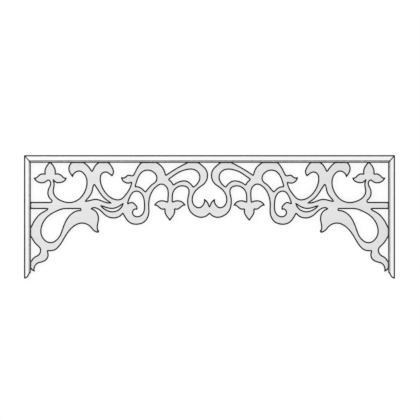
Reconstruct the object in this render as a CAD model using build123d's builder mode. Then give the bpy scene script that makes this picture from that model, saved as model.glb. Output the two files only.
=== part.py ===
from build123d import *
from math import sqrt
import os

os.makedirs("parts", exist_ok=True)

# A framed fretwork panel for the head of a porch bay.
# A scroll-sawn board is held inside a frame of three mitred members, which is open at the bottom.
# The panel lies on its back: +X along the top rail, +Y from the feet to the rail, +Z out of its face.
# The origin is at the middle of its length and height, on the plane of its back. Lengths are in millimetres.

# Frame
panel_width = 1828.8
panel_height = 609.6
frame_depth = 38.0
rail_face = 38.0
stile_face = 34.0
bevel_width = 9.0
arris_radius = 1.5

# Foot of each stile, from the outer edge inwards: a short flat, a round nose, then a slope across the bevel
foot_flat = 4.0
foot_corner = 3.0
nose_rise = 21.5
nose_bulge = 4.3
slope_rise = 9.0

# Fretwork board
board_thickness = 19.0
reveal = 1.0
bar_drop = 192.1
bar_face = 36.3

# Places that follow from the sizes above
half_width = panel_width / 2
half_height = panel_height / 2
inside_half = half_width - stile_face
inside_drop = panel_height - rail_face
rail_edge = half_height - rail_face
board_back = (frame_depth - board_thickness) / 2
bevel_depth = board_back - reveal
stile_bevel = bevel_width * stile_face / rail_face

# The pattern is one half of the board, drawn full size for the opening and the bar that these two pairs give.
# Its points are (across from the centre line, down from the rail's lower edge). They lie along the middle of
# a pen line of this width, and the board reaches the line's outer side.
pen_line = 4.8
DRAWN_OPENING = (880.4, 571.6)
DRAWN_BAR = (194.5, 226.0)
line_drop = bar_drop + pen_line / 2
lines_apart = bar_face - pen_line

# Openings that reach the frame or the centre line are drawn past it by this much, to cut through the edge.
overrun = 10.0
ABOVE = -overrun
OUTSIDE = DRAWN_OPENING[0] + overrun
INSIDE = -overrun


def spot(across, down):
    """Return a point of the pattern in the panel's plan, stretched to the frame and bar as they are now."""
    drawn_half, drawn_drop = DRAWN_OPENING
    drawn_top, drawn_foot = DRAWN_BAR
    if down <= drawn_top:
        drop = down * line_drop / drawn_top
    elif down <= drawn_foot:
        drop = line_drop + (down - drawn_top) * lines_apart / (drawn_foot - drawn_top)
    else:
        lower_part = (inside_drop - line_drop - lines_apart) / (drawn_drop - drawn_foot)
        drop = line_drop + lines_apart + (down - drawn_foot) * lower_part
    return (across * inside_half / drawn_half, rail_edge - drop)


def saw_line(points):
    """Draw a smooth line through the points, with a pair of arcs from each point to the next.

    The line's heading at each point is that of a spline through all of them. The first arc of a pair leaves
    its point on the heading there, the second reaches its own on the heading there, and they meet smoothly.
    """
    guide = Spline(*points, mode=Mode.PRIVATE)
    headings = [guide.tangent_at(Vector(*point)) for point in points]
    for start, end, leaving, arriving in zip(points, points[1:], headings, headings[1:]):
        chord = Vector(*end) - Vector(*start)
        ahead = chord.dot(leaving + arriving)
        turn = 1 - leaving.dot(arriving)
        arm = chord.dot(chord) / (ahead + sqrt(ahead**2 + 2 * turn * chord.dot(chord)))
        meeting = (Vector(*start) + Vector(*end) + (leaving - arriving) * arm) / 2
        TangentArc(start, meeting, tangent=leaving)
        TangentArc(meeting, end, tangent=-arriving, tangent_from_first=False)


def trace(start, *runs):
    """Draw a closed outline. Each run of points goes on from the last one, and meets it in a corner.

    A run of one point is a straight line, one of two points is an arc, and one of more is a smooth saw line.
    A straight line closes an outline that doesn't end where it starts.
    """
    here = spot(*start)
    for run in runs:
        points = [here] + [spot(*point) for point in run]
        if len(points) == 2:
            Line(*points)
        elif len(points) == 3:
            ThreePointArc(*points)
        else:
            saw_line(points)
        here = points[-1]
    if here != spot(*start):
        Line(here, spot(*start))


def beside(root, side, *points):
    """Return a leaf's points, given from its root, on one side of its middle line: 1 is outwards."""
    return [(root[0] + side * across, root[1] + down) for across, down in points]


# The trefoil that hangs from the rail
TREFOIL_ROOT = (785.5, 0)
TREFOIL_LOBE = ((5, 0), (18, 17), (26, 37), (24, 57))
TREFOIL_LEAF = ((38, 53.5), (54, 60), (67, 72), (79.5, 74.5))

# The pendant that hangs from the bar's line, below the pattern
PENDANT_ROOT = (195.5, 194.5)
PENDANT_LEAF_TOP = ((12.5, 0), (30, -7.5), (51, -6.5), (75.5, 14.5))
PENDANT_LEAF_FOOT = ((62, 18), (48, 29.5), (35, 35), (21.5, 29))
PENDANT_LOBE = ((25, 46.5), (17, 66.5), (0, 89))

# The board's outline, from the top of the centre line round by the stile and back along its lower edge
board_outline = [
    (0, 0),
    [(DRAWN_OPENING[0], 0)],
    [(DRAWN_OPENING[0], 520.5)],
    [(872, 530), (863, 534)],
    [(863, 517), (851, 498), (820, 487), (797, 466), (795, 449), (800, 433)],
    [
        (783, 434), (764, 430), (742, 412), (710.5, 363), (678, 321), (628, 298),
        (590, 313), (569, 335), (554, 342.5),
    ],
    [(546.5, 339.5), (550.5, 331)],
    [(552, 312), (547, 282), (551, 252), (566, 233.5), (584, 227)],
    [(563, 222.5), (544, 231.5), (507, 263), (476, 272.5), (448, 267), (427, 248)],
    [
        (413, 274), (388, 298), (357, 303.5), (322, 292), (300, 257), (298.5, 205),
        (289, 156), (260, 116), (234, 106), (211, 122), (204.5, 155), (206, 194.5),
    ],
    beside(PENDANT_ROOT, 1, *PENDANT_LEAF_TOP[1:]),
    beside(PENDANT_ROOT, 1, *PENDANT_LEAF_FOOT),
    beside(PENDANT_ROOT, 1, *PENDANT_LOBE),
    beside(PENDANT_ROOT, -1, *PENDANT_LOBE[1::-1], PENDANT_LEAF_FOOT[-1]),
    beside(PENDANT_ROOT, -1, *PENDANT_LEAF_FOOT[2::-1], PENDANT_LEAF_TOP[-1]),
    beside(PENDANT_ROOT, -1, *PENDANT_LEAF_TOP[2::-1]),
    [
        (182.5, 172), (179.5, 148), (164, 125), (130, 114.5), (105, 128), (102, 146), (107, 172),
        (107.5, 205), (96, 239), (76, 258), (38, 269.5), (17, 263.5), (0, 248),
    ],
]

# Openings from the stile towards the centre
corner_opening = [
    (OUTSIDE, ABOVE),
    [(782, ABOVE)],
    beside(TREFOIL_ROOT, 1, *TREFOIL_LOBE),
    beside(TREFOIL_ROOT, 1, *TREFOIL_LEAF),
    [
        (852, 91), (826, 99.5), (803, 91), (795, 86), (787, 91),
        (784, 105), (794, 129), (797.5, 147), (780, 183),
    ],
    [(777.5, 190), (782, 194.5)],
    [(OUTSIDE, 194.5)],
]
first_scroll_opening = [
    (789, ABOVE),
    beside(TREFOIL_ROOT, -1, *TREFOIL_LOBE),
    beside(TREFOIL_ROOT, -1, *TREFOIL_LEAF),
    [(714, 89), (739, 98.5), (758, 96), (766, 86.5)],
    [(768.5, 84.5), (770.5, 87.5)],
    [
        (765, 110), (769, 142), (754, 171), (727, 187.5), (691, 195), (655, 185.5),
        (620, 150), (605, 103), (615, 60), (643, 41.5), (664, 50), (674.5, 69),
    ],
    [(688, 50), (694, 28), (690, 12), (671, ABOVE)],
]
rail_notch = [
    (632, ABOVE),
    [(600, 14), (579.5, 43)],
    [(569, 22), (559, 8), (547, -1), (533, ABOVE)],
]
triangle_opening = [
    (570.5, 111),
    [(574, 122), (579, 144), (590, 164), (613, 190)],
    [(593, 185.5), (556, 179.5), (526, 189), (505, 195.5), (485, 197.5)],
    [(502, 188), (530, 163), (552, 131), (565.5, 111)],
    [(568, 108), (570.5, 111)],
]
second_scroll_opening = [
    (501, ABOVE),
    [(482, 18), (472.5, 42), (481, 65)],
    [
        (494, 54), (511, 46.5), (530, 54), (537.5, 80), (529, 118), (503, 157),
        (468, 179), (440, 179.5), (414, 157), (391, 120), (384, 95),
    ],
    [(397, 100.5), (415, 98), (434, 72)],
    [(417, 71.5), (398, 60), (379, 62.5), (370, 51), (362, 35), (351, 16), (327, ABOVE)],
]
crescent_slit = [
    (536, 211),
    [(505, 222), (478, 225.5), (455, 219.5), (426, 199.5)],
    [(440, 224), (457, 236), (479, 240.5), (504, 234.5), (536, 211)],
]
teardrop_opening = [
    (640, 226),
    [(706, 226)],
    [
        (722, 227.5), (750, 237), (800, 268.5), (828, 318), (825, 362), (784, 392.5),
        (746, 371), (724, 324), (700, 272), (673, 245), (641, 234),
    ],
    [(634.5, 230), (640, 226)],
]
upper_stile_opening = [
    (OUTSIDE, 226),
    [(795.5, 226)],
    [(806.5, 234.5), (829.5, 247.5), (848.5, 265), (864.5, 286.5), (876.5, 309.5), (OUTSIDE, 334.5)],
]
lower_stile_opening = [
    (OUTSIDE, 345),
    [(879, 366), (855, 401), (834, 427), (843, 453), (864, 466), (878, 483), (OUTSIDE, 500)],
]
arch_opening = [
    (366, 118),
    [
        (359.5, 95), (348, 66), (330, 44.5), (303, 37), (275.5, 47.5), (260.5, 72),
        (265, 91), (286, 108.5), (302, 126), (316, 143),
    ],
    [(327, 132.5), (346, 119.5), (366, 118)],
]
comma_opening = [
    (405, 205.5),
    [
        (398, 184), (388, 161), (375, 145), (361, 140.5), (345, 145), (329, 164), (321.5, 200),
        (323, 235), (333, 255), (349, 264), (366, 263), (378, 249), (373, 232), (358, 230),
    ],
    [(357, 218), (365, 206), (381, 195), (394, 197), (405, 205.5)],
]
rail_hollow = [
    (270, ABOVE),
    [(254, 2), (237, 16), (225, 33), (216, 62)],
    [(190, 44), (139, 14), (90, ABOVE)],
]
long_opening = [
    (201.5, 82),
    [(180, 66.5), (146, 45), (113, 34), (84, 32.5), (60, 44), (48.5, 69), (55, 94), (80, 118.5)],
    [(92, 104), (113, 90), (142, 90.5), (178, 109.5)],
    [(188, 93), (201.5, 82)],
]
centre_opening = [
    (INSIDE, ABOVE),
    [(64, ABOVE)],
    [
        (50, 1), (30, 18), (14, 38), (9, 60), (12, 82), (27, 105), (50, 122),
        (72, 144), (84, 176), (72, 212), (50, 220), (32, 207), (26, 180),
    ],
    [(13, 190), (5, 204), (0, 220)],
    [(INSIDE, 220)],
]
openings = [
    corner_opening,
    first_scroll_opening,
    rail_notch,
    triangle_opening,
    second_scroll_opening,
    crescent_slit,
    teardrop_opening,
    upper_stile_opening,
    lower_stile_opening,
    arch_opening,
    comma_opening,
    rail_hollow,
    long_opening,
    centre_opening,
]


def member_section(face, bevel):
    """Return a frame member's section: inner edge on the Y axis, both faces bevelled, outer arrises eased."""
    with BuildSketch() as section:
        with BuildLine():
            Polyline(
                (0, bevel_depth),
                (bevel, 0),
                (face, 0),
                (face, frame_depth),
                (bevel, frame_depth),
                (0, frame_depth - bevel_depth),
                close=True,
            )
        make_face()
        fillet(section.vertices().group_by(Axis.X)[-1], radius=arris_radius)
    return section.sketch


# Top rail, cut back to the mitres that run from the outer to the inner corners
with BuildPart() as top_rail:
    with BuildSketch(Plane((-half_width, rail_edge, 0), x_dir=(0, 1, 0), z_dir=(1, 0, 0))):
        add(member_section(rail_face, bevel_width))
    extrude(amount=panel_width)
    with BuildSketch(Plane.XY):
        with BuildLine():
            Polyline(
                (-half_width, half_height),
                (half_width, half_height),
                (inside_half, rail_edge),
                (-inside_half, rail_edge),
                close=True,
            )
        make_face()
    extrude(amount=frame_depth, mode=Mode.INTERSECT)
top_rail.part.label = "top_rail"
export_step(top_rail.part, "parts/top_rail.step")

# Left stile, mitred at the top and shaped at the foot
with BuildPart() as left_stile:
    with BuildSketch(Plane((-inside_half, -half_height, 0), x_dir=(-1, 0, 0), z_dir=(0, 1, 0))):
        add(member_section(stile_face, stile_bevel))
    extrude(amount=panel_height)
    nose_foot = (-half_width + foot_flat, -half_height)
    nose_top = (-inside_half - stile_bevel, -half_height + nose_rise)
    slope_top = (-inside_half, -half_height + nose_rise + slope_rise)
    with BuildSketch(Plane.XY) as stile_plan:
        with BuildLine():
            Polyline(
                nose_top,
                slope_top,
                (-inside_half, rail_edge),
                (-half_width, half_height),
                (-half_width, -half_height),
                nose_foot,
            )
            SagittaArc(nose_foot, nose_top, -nose_bulge)
        make_face()
        outer_corner = stile_plan.vertices().group_by(Axis.Y)[0].sort_by(Axis.X)[0]
        fillet(outer_corner, radius=foot_corner)
    extrude(amount=frame_depth, mode=Mode.INTERSECT)
left_stile.part.label = "left_stile"
export_step(left_stile.part, "parts/left_stile.step")

# Right stile
with BuildPart() as right_stile:
    mirror(left_stile.part, about=Plane.YZ)
right_stile.part.label = "right_stile"
export_step(right_stile.part, "parts/right_stile.step")

# Fretwork board: one half with its openings, mirrored about the centre line, grown from the middle of the pen
# line to its outer side and cut back to the frame
with BuildPart() as fretwork:
    with BuildSketch(Plane.XY.offset(board_back)):
        with BuildLine():
            trace(*board_outline)
        make_face()
        for opening in openings:
            with BuildLine():
                trace(*opening)
            make_face(mode=Mode.SUBTRACT)
        mirror(about=Plane.YZ)
        offset(amount=pen_line / 2, mode=Mode.REPLACE)
        with BuildLine():
            Polyline(
                (-inside_half, rail_edge),
                (inside_half, rail_edge),
                (inside_half, -half_height),
                (-inside_half, -half_height),
                close=True,
            )
        make_face(mode=Mode.INTERSECT)
    extrude(amount=board_thickness)
fretwork.part.label = "fretwork"
export_step(fretwork.part, "parts/fretwork.step")
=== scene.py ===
import bmesh
import bpy
import numpy as np
from math import cos, pi, radians, sin, sqrt
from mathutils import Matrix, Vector
from mathutils.bvhtree import BVHTree
from mathutils.geometry import delaunay_2d_cdt


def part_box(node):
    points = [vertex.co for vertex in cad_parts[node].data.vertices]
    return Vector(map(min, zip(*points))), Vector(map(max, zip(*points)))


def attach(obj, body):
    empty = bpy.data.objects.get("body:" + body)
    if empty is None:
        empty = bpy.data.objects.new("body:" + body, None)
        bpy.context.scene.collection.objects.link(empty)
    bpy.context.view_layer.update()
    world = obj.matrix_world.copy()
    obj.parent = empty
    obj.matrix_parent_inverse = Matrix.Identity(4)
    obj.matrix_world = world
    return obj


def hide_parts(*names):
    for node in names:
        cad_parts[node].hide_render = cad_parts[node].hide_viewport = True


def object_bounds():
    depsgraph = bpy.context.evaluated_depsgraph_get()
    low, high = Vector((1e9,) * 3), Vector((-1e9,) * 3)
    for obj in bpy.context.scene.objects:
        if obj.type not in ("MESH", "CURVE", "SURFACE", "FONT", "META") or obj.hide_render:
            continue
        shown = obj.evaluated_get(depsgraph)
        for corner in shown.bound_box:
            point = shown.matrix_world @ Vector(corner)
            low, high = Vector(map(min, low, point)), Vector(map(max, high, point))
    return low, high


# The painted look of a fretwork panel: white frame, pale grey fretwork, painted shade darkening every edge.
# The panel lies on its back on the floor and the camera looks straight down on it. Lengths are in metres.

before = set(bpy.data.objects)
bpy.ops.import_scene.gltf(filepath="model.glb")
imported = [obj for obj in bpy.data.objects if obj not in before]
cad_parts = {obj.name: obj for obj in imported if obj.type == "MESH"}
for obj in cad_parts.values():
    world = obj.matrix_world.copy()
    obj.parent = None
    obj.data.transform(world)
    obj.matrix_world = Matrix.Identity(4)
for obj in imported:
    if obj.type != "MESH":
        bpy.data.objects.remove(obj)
cad_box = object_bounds()

MM = 0.001

# Sizes of the frame, from its solids
HALF_WIDTH, HALF_HEIGHT, DEPTH = cad_box[1]
INSIDE_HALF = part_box("right_stile")[0].x
RAIL_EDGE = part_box("top_rail")[0].y
STILE_FACE = HALF_WIDTH - INSIDE_HALF
RAIL_FACE = HALF_HEIGHT - RAIL_EDGE
MIDDLE = DEPTH / 2

# Forms on the frame's members, as on their solids. A stile's bevel is as much narrower as its face is.
BEVEL_WIDTH = 9 * MM
BEVEL_DEPTH = 8.5 * MM
ARRIS = 1.5 * MM
NARROWING = STILE_FACE / RAIL_FACE
STILE_BEVEL = BEVEL_WIDTH * NARROWING
FOOT_FLAT = 4 * MM
FOOT_CORNER = 3 * MM
NOSE_RISE = 21.5 * MM
NOSE_BULGE = 4.3 * MM
SLOPE_RISE = 9 * MM

# Small forms that the solids leave out
EASED_BEVEL = 1.2 * MM
EASED_INNER = 0.8 * MM
GROOVE = 0.9 * MM
BOARD_ARRIS = 1.3 * MM

# How wide the painted edge shade (a dark outline) is along each edge. At a bevel's upper edge it reaches
# from the first distance, towards the inner edge, to the second, away from it.
OUTER_LINE = 6.6 * MM
INNER_LINE = 5.4 * MM
RAIL_BEVEL_LINE = (-1.7 * MM, 2.9 * MM)
STILE_BEVEL_LINE = (-0.8 * MM, 2.6 * MM)
MITRE_LINE = 5.6 * MM
BOARD_LINE = 6.9 * MM
FRAMED_LINE = 1.5 * MM

# How far the painted edge shade runs down a side, how soft its edge is and how far that wanders, and which
# part of the board's painted edge shade is worn to lighter specks, measured from the outline
LINE_WRAP = 2.0 * MM
LINE_SOFT = 0.15 * MM
LINE_WANDER = 0.2 * MM
WORN_FULLY = 0.3 * MM
WORN_REACH = 1.6 * MM

# Strokes of painted edge shade that run on from the sharp tips of openings: the line's width at their end,
# half the pen's width, how long they may be, and the cosine of the turn past which a corner is a sharp tip
TIP_END = 2.6 * MM
PEN_HALF = 2.4 * MM
TIP_REACH = 13.0 * MM
TIP_TURN = 0.4

# Fineness of the meshes: steps along a member's section, along the board's outline and across its face,
# points of the foot's line, and rings between those near a member's ends
SECTION_STEP = 1.2 * MM
OUTLINE_STEP = 12 * MM
FACE_STEP = 4.4 * MM
FOOT_POINTS = 400
MIDDLE_RINGS = 12

# How far the rings near a member's end are from it, along the member. The mitres make that sqrt(2) longer
# than square to them.
END_STEPS = np.array([0, GROOVE, 2 * MM, 3 * MM, 4 * MM, 5.5 * MM, 7 * MM, 9 * MM, 12 * MM]) * sqrt(2)

# Edges that stay sharp turn by more than this, faces touch when they are nearer than this, and points of the
# board's face are one point when they are nearer than this
SHARP_ANGLE = radians(35)
TOUCHING = 0.05 * MM
WELD = 1e-7

# How often the board's eased edge may be halved at a tight tip, and how many times its width a corner of it
# may reach
ARRIS_HALVINGS = 8
ARRIS_REACH = 1.8

# Colours
# The first two are painted shade: a near-black outline along every edge, and its lighter worn specks
PAINTED_EDGE_SHADE = (0.003, 0.003, 0.0035, 1.0)
PAINTED_EDGE_SHADE_WORN = (0.08, 0.08, 0.08, 1.0)
FRAME_PALE = (0.95, 0.95, 0.945, 1.0)
FRAME_DEEP = (0.905, 0.905, 0.9, 1.0)
BOARD_PALE = (0.82, 0.82, 0.82, 1.0)
BOARD_DEEP = (0.745, 0.745, 0.742, 1.0)
WHITE = (1.0, 1.0, 1.0, 1.0)
FLOOR_COLOUR = (0.9, 0.9, 0.9, 1.0)

# Stage and light. The camera sees the floor as glowing white, but for the share that shows its shadows.
FLOOR_HALF = 30.0
FLOOR_DROP = 0.3 * MM
FLOOR_GLOW = 1.04
SHADOW_SHARE = 0.18
SKY_LEVEL = 0.78

# The middle of the photo, the width that it takes in at the panel, and the camera's height above the floor
VIEW_MIDDLE = (2.5 * MM, 34.3 * MM)
VIEW_WIDTH = 2070.3 * MM
VIEW_HEIGHT = 2.5


# Materials

def add_node(tree, kind, inputs=(), **settings):
    """Add a node with these settings. An input is a socket to link or a value."""
    new = tree.nodes.new(kind)
    for name, value in settings.items():
        setattr(new, name, value)
    for key, value in dict(inputs).items():
        if isinstance(value, bpy.types.NodeSocket):
            tree.links.new(value, new.inputs[key])
        else:
            new.inputs[key].default_value = value
    return new


def new_tree(name):
    """Make a material, and return it with its empty tree and its output."""
    material = bpy.data.materials.new(name)
    material.use_nodes = True
    tree = material.node_tree
    tree.nodes.clear()
    return material, tree, tree.nodes.new("ShaderNodeOutputMaterial")


def noise(tree, place, scale, detail=4.0, roughness=0.55):
    """Return the value of a noise texture over the object, with its waves to the metre for each axis."""
    spread = add_node(tree, "ShaderNodeMapping", {"Vector": place, "Scale": scale})
    texture = add_node(
        tree,
        "ShaderNodeTexNoise",
        {"Vector": spread.outputs["Vector"], "Scale": 1.0, "Detail": detail, "Roughness": roughness},
    )
    return texture.outputs["Fac"]


def ranged(tree, value, from_low, from_high, to_low, to_high):
    """Return a value mapped from one range to another, held at its ends."""
    mapped = add_node(
        tree,
        "ShaderNodeMapRange",
        {"Value": value, "From Min": from_low, "From Max": from_high, "To Min": to_low, "To Max": to_high},
        clamp=True,
    )
    return mapped.outputs["Result"]


def maths(tree, operation, first, second):
    """Return one operation on two values or sockets."""
    return add_node(tree, "ShaderNodeMath", {0: first, 1: second}, operation=operation).outputs["Value"]


def mixed(tree, factor, first, second):
    """Return a mix of two colours. The node takes them at its sockets 6 and 7, and gives the mix at 2."""
    mix = add_node(tree, "ShaderNodeMix", {0: factor, 6: first, 7: second}, data_type="RGBA")
    return mix.outputs[2]


def painted_wood(name, pale, deep, along):
    """Make satin paint on wood whose grain runs along one axis, with painted shade darkening the edges.

    The painted edge shade follows the attributes that add_piece() stores, which are in millimetres.
    """
    material, tree, output = new_tree(name)
    place = tree.nodes.new("ShaderNodeTexCoord").outputs["Object"]

    def stretched(run, across):
        scale = [across, across, across]
        scale[along] = run
        return scale

    figure = noise(tree, place, stretched(2.5, 45.0), detail=3.0)
    grain = noise(tree, place, stretched(9.0, 260.0), detail=5.0)
    brush = noise(tree, place, stretched(22.0, 950.0), detail=3.0)
    blotch = noise(tree, place, (5.0, 5.0, 5.0), detail=3.0)
    speck = noise(tree, place, (420.0, 420.0, 420.0), detail=2.0)

    # Paint: two near tones, drawn out along the grain and clouded by the coat's thickness
    drawn = maths(tree, "ADD", maths(tree, "MULTIPLY", grain, 0.35), maths(tree, "MULTIPLY", figure, 0.4))
    cloud = maths(tree, "ADD", drawn, maths(tree, "MULTIPLY", blotch, 0.25))
    tone = mixed(tree, ranged(tree, cloud, 0.35, 0.65, 0.0, 1.0), pale, deep)

    # Painted edge shade: a dark outline whose border wanders a little with noise. On the sides it stops below
    # the rim.
    height = add_node(tree, "ShaderNodeSeparateXYZ", {"Vector": place}).outputs["Z"]
    off_middle = maths(tree, "ABSOLUTE", maths(tree, "SUBTRACT", height, MIDDLE), 0.0)
    plan = add_node(tree, "ShaderNodeAttribute", attribute_name="plan").outputs["Fac"]
    rim = add_node(tree, "ShaderNodeAttribute", attribute_name="rim").outputs["Fac"]
    depth = maths(tree, "SUBTRACT", rim, maths(tree, "MULTIPLY", off_middle, 1 / MM))
    edge_shade_distance = maths(tree, "MAXIMUM", plan, maths(tree, "SUBTRACT", depth, LINE_WRAP / MM))
    shake = noise(tree, place, (60.0, 60.0, 60.0), detail=2.0)
    wander = ranged(tree, shake, 0.3, 0.7, -LINE_WANDER / MM, LINE_WANDER / MM)
    edge_shaded = ranged(tree, maths(tree, "ADD", edge_shade_distance, wander), -LINE_SOFT / MM, LINE_SOFT / MM, 1.0, 0.0)

    # Wear: the painted edge shade is lighter in random specks along the eased edges, as if rubbed
    rubbed = ranged(tree, plan, (WORN_FULLY - BOARD_LINE) / MM, (WORN_REACH - BOARD_LINE) / MM, 1.0, 0.0)
    scuffed = maths(tree, "MULTIPLY", rubbed, ranged(tree, speck, 0.59, 0.71, 0.0, 0.5))
    edge_shade_colour = mixed(tree, scuffed, PAINTED_EDGE_SHADE, PAINTED_EDGE_SHADE_WORN)
    colour = mixed(tree, edge_shaded, tone, edge_shade_colour)

    # Relief: grain showing through the coat, brush marks, and the saw's upright marks on the sides
    upright = tree.nodes.new("ShaderNodeNewGeometry").outputs["Normal"]
    lean = add_node(tree, "ShaderNodeSeparateXYZ", {"Vector": upright}).outputs["Z"]
    side = ranged(tree, maths(tree, "ABSOLUTE", lean, 0.0), 0.2, 0.5, 1.0, 0.0)
    saw = noise(tree, place, (700.0, 700.0, 25.0), detail=2.0)
    face_relief = maths(tree, "ADD", maths(tree, "MULTIPLY", grain, 0.7), maths(tree, "MULTIPLY", brush, 0.3))
    relief = maths(tree, "ADD", face_relief, maths(tree, "MULTIPLY", saw, maths(tree, "MULTIPLY", side, 1.5)))
    bump = add_node(tree, "ShaderNodeBump", {"Height": relief, "Strength": 0.8, "Distance": 0.6 * MM})

    satin = ranged(tree, brush, 0.3, 0.7, 0.38, 0.50)
    gloss = maths(tree, "SUBTRACT", satin, maths(tree, "MULTIPLY", edge_shaded, 0.08))
    paint = add_node(
        tree,
        "ShaderNodeBsdfPrincipled",
        {
            "Base Color": colour,
            "Roughness": gloss,
            "Normal": bump.outputs["Normal"],
            "Specular IOR Level": 0.2,
        },
    )
    tree.links.new(paint.outputs["BSDF"], output.inputs["Surface"])
    return material


ALONG_X, ALONG_Y = 0, 1
rail_paint = painted_wood("rail_paint", FRAME_PALE, FRAME_DEEP, ALONG_X)
stile_paint = painted_wood("stile_paint", FRAME_PALE, FRAME_DEEP, ALONG_Y)
board_paint = painted_wood("board_paint", BOARD_PALE, BOARD_DEEP, ALONG_X)


# Pieces

def add_piece(name, vertices, faces, plan, rim, material, node):
    """Make a piece from its mesh in the place of a CAD node.

    plan is how far each vertex is outside the painted edge shade, seen from above, and below zero inside it.
    rim is how far the face is from the middle of the panel's depth there. The material reads both in
    millimetres.
    """
    mesh = bpy.data.meshes.new(name)
    mesh.from_pydata([tuple(map(float, vertex)) for vertex in vertices], [], faces)
    shell = bmesh.new()
    shell.from_mesh(mesh)
    bmesh.ops.recalc_face_normals(shell, faces=shell.faces)
    shell.to_mesh(mesh)
    shell.free()
    for kind, values in (("plan", plan), ("rim", rim)):
        attribute = mesh.attributes.new(kind, "FLOAT", "POINT")
        attribute.data.foreach_set("value", np.asarray(values, dtype=np.float32) / MM)
    mesh.shade_smooth()
    mesh.set_sharp_from_angle(angle=SHARP_ANGLE)
    mesh.materials.append(material)
    piece = bpy.data.objects.new(name, mesh)
    bpy.context.scene.collection.objects.link(piece)
    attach(piece, "root")
    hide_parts(node)


def divided(line, length):
    """Return a line of points with its long runs divided."""
    result = [line[0]]
    for start, end in zip(line, line[1:]):
        count = max(1, int(np.ceil(np.linalg.norm(end - start) / length)))
        result += [start + (end - start) * step / count for step in range(1, count + 1)]
    return np.array(result)


def inward(ring, amount, limit=2.5):
    """Return a closed ring of 2-D points moved to its left by an amount, along the middle of each corner.

    limit is how many times the amount a point may move, where a corner is sharp.
    """
    ahead = np.roll(ring, -1, axis=0) - ring
    ahead /= np.linalg.norm(ahead, axis=1)[:, None]
    normal = np.column_stack((-ahead[:, 1], ahead[:, 0]))
    middle = normal + np.roll(normal, 1, axis=0)
    middle /= np.maximum(np.linalg.norm(middle, axis=1)[:, None], 1e-9)
    reach = np.minimum(1 / np.maximum((middle * normal).sum(axis=1), 1e-9), limit)
    return ring + middle * (amount * reach)[:, None]


# Frame members

def eased(points, radii, steps=3):
    """Return an open line of points with each inner corner rounded to its radius."""
    line = [points[0]]
    for before, corner, after, radius in zip(points, points[1:], points[2:], radii):
        corner = np.array(corner)
        back = np.array(before) - corner
        ahead = np.array(after) - corner
        back /= np.linalg.norm(back)
        ahead /= np.linalg.norm(ahead)
        half_angle = np.arccos(np.clip(back @ ahead, -1, 1)) / 2
        reach = radius / np.tan(half_angle)
        middle = corner + (back + ahead) / np.linalg.norm(back + ahead) * radius / np.sin(half_angle)
        start = corner + back * reach - middle
        end = corner + ahead * reach - middle
        sweep = np.pi - 2 * half_angle
        for step in range(steps + 1):
            part = step / steps
            turned = np.sin((1 - part) * sweep) * start + np.sin(part * sweep) * end
            line.append(middle + turned / np.sin(sweep))
    line.append(points[-1])
    return np.array(line)


# One section serves all three members, as pairs of the distance from the inner edge and the height. It is
# given for the rail, and the stiles narrow it to their own face. It starts at the inner edge, half way up.
front_corners = [
    (0, MIDDLE),
    (0, DEPTH - BEVEL_DEPTH),
    (BEVEL_WIDTH, DEPTH),
    (RAIL_FACE, DEPTH),
    (RAIL_FACE, MIDDLE),
]
front_half = divided(eased(front_corners, (EASED_INNER, EASED_BEVEL, ARRIS)), SECTION_STEP)
back_half = front_half[-2:0:-1] * (1, -1) + (0, DEPTH)
section = np.concatenate((front_half, back_half))
grooved_section = inward(section, -GROOVE)


def foot_rise(share):
    """Return how high a stile's foot is above its lowest point. The share is 0 at the face's inner edge."""
    across = (1 - share) * STILE_FACE
    nose_end = STILE_FACE - STILE_BEVEL
    chord = Vector((nose_end - FOOT_FLAT, NOSE_RISE))
    radius = (chord.length**2 / 4 + NOSE_BULGE**2) / (2 * NOSE_BULGE)
    centre = Vector((FOOT_FLAT, 0)) + chord / 2 + chord.orthogonal().normalized() * (radius - NOSE_BULGE)
    corner = FOOT_CORNER - np.sqrt(np.maximum(FOOT_CORNER**2 - (FOOT_CORNER - across) ** 2, 0))
    nose = centre.y - np.sqrt(np.maximum(radius**2 - (across - centre.x) ** 2, 0))
    slope = NOSE_RISE + (across - nose_end) / STILE_BEVEL * SLOPE_RISE
    return np.select(
        [across < FOOT_CORNER, across < FOOT_FLAT, across < nose_end], [corner, 0 * across, nose], slope
    )


foot_shares = np.linspace(0, 1, FOOT_POINTS)
foot_line = np.column_stack((INSIDE_HALF + STILE_FACE * foot_shares, foot_rise(foot_shares) - HALF_HEIGHT))


def frame_edge_shade(points, across, bevel, bevel_line):
    """Return how far each point of a member is outside the painted edge shade, seen from above."""
    wide = np.abs(points[:, 0])
    up = points[:, 1]
    outside = np.minimum(HALF_WIDTH - wide, HALF_HEIGHT - up)
    foot = np.min(np.hypot(wide[:, None] - foot_line[:, 0], up[:, None] - foot_line[:, 1]), axis=1)
    across_mitre = (wide - HALF_WIDTH) * RAIL_FACE - (up - HALF_HEIGHT) * STILE_FACE
    mitre = np.abs(across_mitre) / np.hypot(RAIL_FACE, STILE_FACE)
    return np.min(
        [
            np.minimum(outside, foot) - OUTER_LINE,
            across - INNER_LINE,
            np.maximum(bevel + bevel_line[0] - across, across - bevel - bevel_line[1]),
            mitre - MITRE_LINE / 2,
        ],
        axis=0,
    )


def end_faces(first):
    """Return the faces that close an end of a member, from its ring's front half across to the back half."""
    last = len(front_half) - 1

    def behind(i):
        return (2 * last - i) % (2 * last)

    faces = []
    for i in range(last):
        corners = dict.fromkeys((i, i + 1, behind(i + 1), behind(i)))
        faces.append([first + corner for corner in corners])
    return faces


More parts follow.
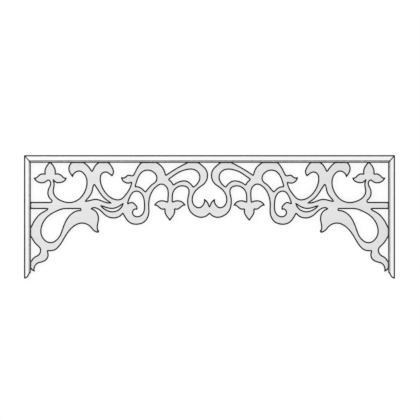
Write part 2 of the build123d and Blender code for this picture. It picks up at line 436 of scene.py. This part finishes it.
def add_member(name, node, place, start, end, narrowing, bevel_line, material):
    """Make a frame member: the section run between two shaped ends, each with its edge eased to a groove.

    start and end give how far along the member its ends are, at each share of its face. place() puts
    distances along and across the member and heights into the panel.
    """
    near_end = [(section if step else grooved_section, step) for step in END_STEPS]
    rings = [(shape, start(shape[:, 0] / RAIL_FACE) + step) for shape, step in near_end]
    first = rings[-1][1]
    last = end(section[:, 0] / RAIL_FACE) - END_STEPS[-1]
    rings += [(section, first + (last - first) * part) for part in np.linspace(0, 1, MIDDLE_RINGS + 2)[1:-1]]
    rings += [(shape, end(shape[:, 0] / RAIL_FACE) - step) for shape, step in near_end[::-1]]

    points = np.concatenate([place(along, shape[:, 0] * narrowing, shape[:, 1]) for shape, along in rings])
    across = np.concatenate([shape[:, 0] * narrowing for shape, along in rings])
    size = len(section)
    faces = end_faces(0) + end_faces((len(rings) - 1) * size)
    for ring in range(len(rings) - 1):
        low, high = ring * size, (ring + 1) * size
        faces += [(low + i, low + (i + 1) % size, high + (i + 1) % size, high + i) for i in range(size)]
    bevel = BEVEL_WIDTH * narrowing
    plan = frame_edge_shade(points, across, bevel, bevel_line)
    rim = MIDDLE - BEVEL_DEPTH * np.clip(1 - across / bevel, 0, 1)
    add_piece(name, points, faces, plan, rim, material, node)


def rail_place(along, across, up):
    """Return points of the rail, whose length runs to the right."""
    return np.column_stack((along, RAIL_EDGE + across, up))


def left_place(along, across, up):
    """Return points of the left stile, whose length runs upwards."""
    return np.column_stack((-INSIDE_HALF - across, along, up))


def right_place(along, across, up):
    """Return points of the right stile, whose length runs upwards."""
    return np.column_stack((INSIDE_HALF + across, along, up))


def rail_left(share):
    """Return where the rail's left end is at each share of its face, on the mitre."""
    return -rail_right(share)


def rail_right(share):
    """Return where the rail's right end is at each share of its face, on the mitre."""
    return INSIDE_HALF + STILE_FACE * share


def stile_top(share):
    """Return where a stile's upper end is at each share of its face, on the mitre."""
    return RAIL_EDGE + RAIL_FACE * share


def stile_foot(share):
    """Return where a stile's lower end is at each share of its face."""
    return foot_rise(share) - HALF_HEIGHT


add_member("rail", "top_rail", rail_place, rail_left, rail_right, 1.0, RAIL_BEVEL_LINE, rail_paint)
stiles = (("stile_left", "left_stile", left_place), ("stile_right", "right_stile", right_place))
for name, node, place in stiles:
    add_member(name, node, place, stile_foot, stile_top, NARROWING, STILE_BEVEL_LINE, stile_paint)


# Fretwork board

def board_loops(node):
    """Return the closed outlines of the board's front face, each with the wood on its left."""
    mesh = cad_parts[node].data
    mesh.calc_loop_triangles()
    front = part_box(node)[1].z - TOUCHING
    keys = [tuple(np.round(vertex.co, 6)) for vertex in mesh.vertices]
    edges = set()
    for triangle in mesh.loop_triangles:
        a, b, c = (keys[i] for i in triangle.vertices)
        if min(a[2], b[2], c[2]) > front:
            edges |= {(a, b), (b, c), (c, a)}
    following = {a: b for a, b in sorted(edges) if (b, a) not in edges}
    loops = []
    while following:
        here, step = following.popitem()
        loop = [here]
        while step != here:
            loop.append(step)
            step = following.pop(step)
        loops.append(np.array(loop)[:, :2])
    return loops


def wall_tree(loops, keep):
    """Return a search tree of upright strips along the outlines' edges that keep() picks."""
    corners, strips = [], []
    for loop in loops:
        for start, end in zip(loop, np.roll(loop, -1, axis=0)):
            if keep(start, end):
                strips.append([len(corners) + i for i in range(4)])
                corners += [(*start, -1), (*end, -1), (*end, 1), (*start, 1)]
    return BVHTree.FromPolygons(corners, strips)


def framed(start, end):
    """Return whether an edge of the board lies against the frame."""
    by_stile = min(INSIDE_HALF - abs(start[0]), INSIDE_HALF - abs(end[0])) < TOUCHING
    upright = abs(start[0] - end[0]) < TOUCHING
    by_rail = RAIL_EDGE - min(start[1], end[1]) < TOUCHING
    return by_stile and upright or by_rail


def tip_strokes(loops):
    """Return strokes that run on into the wood from the sharp tips of openings, as the pattern's lines do.

    A stroke reaches the corner of the pattern's own line, which lies half the pen's width inside the wood.
    """
    strokes = []
    for loop in loops:
        arriving = loop - np.roll(loop, 1, axis=0)
        arriving /= np.linalg.norm(arriving, axis=1)[:, None]
        for point, ahead, away in zip(loop, arriving, np.roll(arriving, -1, axis=0)):
            if ahead[0] * away[1] - ahead[1] * away[0] < 0 and ahead @ away < TIP_TURN:
                reach = min(PEN_HALF / sqrt(max((1 + ahead @ away) / 2, 1e-6)), TIP_REACH)
                onward = (ahead - away) / np.linalg.norm(ahead - away)
                strokes.append((Vector(point), Vector(point + onward * reach)))
    return strokes


board_low, board_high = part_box("fretwork")
outlines = [divided(np.vstack((loop, loop[:1])), OUTLINE_STEP)[:-1] for loop in board_loops("fretwork")]
free_walls = wall_tree(outlines, lambda start, end: not framed(start, end))
framed_walls = wall_tree(outlines, framed)
strokes = tip_strokes(outlines)
tip_walls = BVHTree.FromPolygons(
    [(*point, level) for stroke in strokes for point, level in zip(stroke + stroke[::-1], (-1, -1, 1, 1))],
    [range(4 * number, 4 * number + 4) for number in range(len(strokes))],
)


def board_edge_shade(point):
    """Return how far a point of the board's face is outside the painted edge shade along its edges."""
    here = Vector((point[0], point[1], 0))
    free = free_walls.find_nearest(here)[3]
    held = framed_walls.find_nearest(here)[3]
    near, _, number, tip = tip_walls.find_nearest(here)
    start, end = strokes[number]
    share = (near.xy - start).length / (end - start).length
    taper = BOARD_LINE + (TIP_END - BOARD_LINE) * share
    return min(free - BOARD_LINE, held - FRAMED_LINE, tip - taper)


def wood_triangles(triangles, gain):
    """Return the triangles that the rings wind round, found by spreading from one at the mesh's rim.

    gain is what crossing an edge from its right to its left adds to the number of times that they wind round.
    """
    beside = {
        edge: index
        for index, triangle in enumerate(triangles)
        for edge in zip(triangle, triangle[1:] + triangle[:1])
    }
    rim = next(edge for edge in beside if (edge[1], edge[0]) not in beside)
    turns = {beside[rim]: gain[rim]}
    front = [beside[rim]]
    while front:
        here = front.pop()
        triangle = triangles[here]
        for a, b in zip(triangle, triangle[1:] + triangle[:1]):
            over = beside.get((b, a))
            if over is not None and over not in turns:
                turns[over] = turns[here] - gain[a, b]
                front.append(over)
    return [triangles[index] for index in sorted(turns) if turns[index] > 0]


def face_mesh(rings, spacing):
    """Return points and triangles that fill the rings, and the place of each ring point among the points."""
    walls = wall_tree(rings, lambda start, end: True)
    points = [Vector(point) for ring in rings for point in ring]
    edges = []
    for ring in rings:
        first = len(edges)
        edges += [(first + i, first + (i + 1) % len(ring)) for i in range(len(ring))]
    rows = np.arange(board_low.y, board_high.y, spacing * sqrt(3) / 2)
    for number, y in enumerate(rows):
        for x in np.arange(board_low.x + spacing / 2 * (number % 2), board_high.x, spacing):
            if walls.find_nearest(Vector((x, y, 0)))[3] > spacing / 2:
                points.append(Vector((x, y)))
    found, found_edges, triangles, origins, edge_origins, _ = delaunay_2d_cdt(points, edges, [], 0, WELD)

    gain = {}
    for (a, b), olds in zip(found_edges, edge_origins):
        total = 0
        for old in olds:
            start, end = edges[old]
            total += 1 if (found[b] - found[a]).dot(points[end] - points[start]) > 0 else -1
        gain[a, b], gain[b, a] = total, -total
    place = {old: new for new, olds in enumerate(origins) for old in olds}
    return found, wood_triangles(triangles, gain), place


def arris_ring(loop):
    """Return the ring where the board's eased edge meets its face, nearer to the outline in tight tips."""
    amount = np.full(len(loop), BOARD_ARRIS)
    for _ in range(ARRIS_HALVINGS):
        ring = inward(loop, amount, limit=ARRIS_REACH)
        turned = ((np.roll(ring, -1, axis=0) - ring) * (np.roll(loop, -1, axis=0) - loop)).sum(axis=1) <= 0
        if not turned.any():
            break
        amount[turned | np.roll(turned, 1)] *= 0.5
    return ring


def side_steps(thick):
    """Return a side of the board as pairs of inset and depth, from its upper edge down to its lower edge."""
    turns = (pi / 6, pi / 3, pi / 2)
    upper = [(BOARD_ARRIS * (1 - sin(turn)), BOARD_ARRIS * (1 - cos(turn))) for turn in turns]
    return upper + [(inset, thick - depth) for inset, depth in upper[::-1]]


def add_board():
    """Make the fretwork board, with its sawn sides, eased edges and filled faces."""
    inner = [arris_ring(loop) for loop in outlines]
    found, triangles, place = face_mesh(inner, FACE_STEP)
    count = len(found)
    points = [(point.x, point.y, level) for level in (board_high.z, board_low.z) for point in found]
    plan = [board_edge_shade(point) for point in found] * 2
    faces = triangles + [[count + i for i in triangle[::-1]] for triangle in triangles]

    thick = board_high.z - board_low.z
    first = 0
    for loop, edge in zip(outlines, inner):
        size = len(loop)
        rings = [[place[first + i] for i in range(size)]]
        for inset, depth in side_steps(thick):
            low = len(points)
            ring = loop + (edge - loop) * inset / BOARD_ARRIS
            points += [(x, y, board_high.z - depth) for x, y in ring]
            plan += [inset - BOARD_LINE] * size
            rings.append([low + i for i in range(size)])
        rings.append([count + i for i in rings[0]])
        for upper, lower in zip(rings, rings[1:]):
            for i in range(size):
                j = (i + 1) % size
                faces.append((upper[i], lower[i], lower[j], upper[j]))
        first += size
    rim = np.full(len(points), thick / 2)
    add_piece("board", points, faces, plan, rim, board_paint, "fretwork")


add_board()


# Stage, light and camera

def floor_paint():
    """Make the floor white to the camera, with the object's shadow kept, and pale to all other light."""
    material, tree, output = new_tree("floor_paint")
    seen = tree.nodes.new("ShaderNodeLightPath").outputs["Is Camera Ray"]
    plain = add_node(tree, "ShaderNodeBsdfDiffuse", {"Color": FLOOR_COLOUR})
    glow = add_node(tree, "ShaderNodeEmission", {"Color": WHITE, "Strength": FLOOR_GLOW})
    share = maths(tree, "MULTIPLY", seen, 1 - SHADOW_SHARE)
    both = add_node(tree, "ShaderNodeMixShader", {0: share, 1: plain.outputs[0], 2: glow.outputs[0]})
    tree.links.new(both.outputs[0], output.inputs["Surface"])
    return material


def add_floor():
    """Lay a wide floor just under the panel."""
    corners = [(x * FLOOR_HALF, y * FLOOR_HALF, -FLOOR_DROP) for x, y in ((-1, -1), (1, -1), (1, 1), (-1, 1))]
    mesh = bpy.data.meshes.new("floor")
    mesh.from_pydata(corners, [], [(0, 1, 2, 3)])
    mesh.materials.append(floor_paint())
    floor = bpy.data.objects.new("floor", mesh)
    bpy.context.scene.collection.objects.link(floor)


def add_sky():
    """Light the panel evenly from a sky that the camera sees as white."""
    world = bpy.data.worlds.new("studio")
    bpy.context.scene.world = world
    world.use_nodes = True
    tree = world.node_tree
    tree.nodes.clear()
    seen = tree.nodes.new("ShaderNodeLightPath").outputs["Is Camera Ray"]
    level = ranged(tree, seen, 0.0, 1.0, SKY_LEVEL, 1.0)
    sky = add_node(tree, "ShaderNodeBackground", {"Color": WHITE, "Strength": level})
    add_node(tree, "ShaderNodeOutputWorld", {"Surface": sky.outputs[0]})


def add_softbox(name, place, size, power):
    """Add a square lamp that faces the panel's middle."""
    light = bpy.data.lights.new(name, "AREA")
    light.shape = "SQUARE"
    light.size = size
    light.energy = power
    lamp = bpy.data.objects.new(name, light)
    lamp.location = place
    lamp.rotation_euler = (-Vector(place)).to_track_quat("-Z", "Y").to_euler()
    bpy.context.scene.collection.objects.link(lamp)


def add_camera():
    """Set the camera straight above the panel, to take in what the photo does."""
    eye = bpy.data.cameras.new("eye")
    eye.type = "ORTHO"
    eye.ortho_scale = VIEW_WIDTH
    camera = bpy.data.objects.new("eye", eye)
    camera.location = (*VIEW_MIDDLE, VIEW_HEIGHT)
    bpy.context.scene.collection.objects.link(camera)
    bpy.context.scene.camera = camera


add_floor()
add_sky()
add_softbox("key", place=(-1.8, 1.6, 2.8), size=1.6, power=28.0)
add_softbox("fill", place=(2.2, -1.8, 2.6), size=2.4, power=15.0)
add_camera()
bpy.context.scene.view_settings.view_transform = "Standard"
